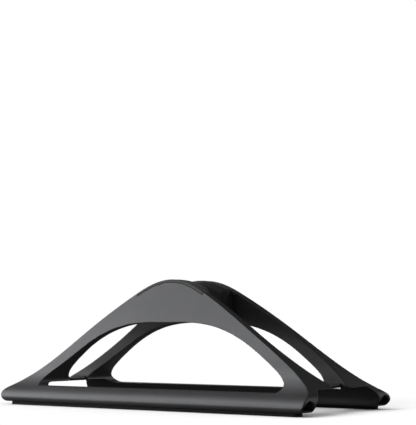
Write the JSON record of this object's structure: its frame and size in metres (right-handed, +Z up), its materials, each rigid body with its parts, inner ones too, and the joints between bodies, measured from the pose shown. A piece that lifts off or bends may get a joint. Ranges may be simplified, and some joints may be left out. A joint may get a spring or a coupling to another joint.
{
  "type": "vertical laptop stand",
  "caption": "Free-standing vertical stand that holds a closed laptop on its long edge between twin arched castings with soft crown liners and floor rails.",
  "frame": {"origin": "on the floor, at the centre of the stand", "axes": "+X along the laptop slot and the rails, +Y towards the rear casting, +Z up"},
  "size_m": [0.266, 0.116, 0.091],
  "materials": {
    "arch_coating": "fine matte charcoal powder coat on cast aluminium",
    "silicone": "soft matte silicone, slightly darker than the coating",
    "rest_silicone": "black silicone channel pad",
    "foot_rubber": "black rubber strip",
    "dark_steel": "black oxide steel"
  },
  "bodies": {
    "base": {"front_arch": "arch_coating", "rear_arch": "arch_coating", "right_cross_plate": "dark_steel", "left_cross_plate": "dark_steel", "right_rest_pad": "rest_silicone", "left_rest_pad": "rest_silicone", "front_foot_strip": "foot_rubber", "rear_foot_strip": "foot_rubber", "right_front_inner_screw": "dark_steel", "right_front_outer_screw": "dark_steel", "right_rear_inner_screw": "dark_steel", "right_rear_outer_screw": "dark_steel", "left_front_inner_screw": "dark_steel", "left_front_outer_screw": "dark_steel", "left_rear_inner_screw": "dark_steel", "left_rear_outer_screw": "dark_steel"},
    "front_liner": {"front_liner": "silicone"},
    "rear_liner": {"rear_liner": "silicone"}
  },
  "joints": [
    {"name": "front_liner_lift", "type": "slide", "parent": "base", "child": "front_liner", "axis": [0, 0.1306, 0.9914], "range_m": [0, 0.045]},
    {"name": "rear_liner_lift", "type": "slide", "parent": "base", "child": "rear_liner", "axis": [0, -0.1306, 0.9914], "range_m": [0, 0.045]}
  ]
}
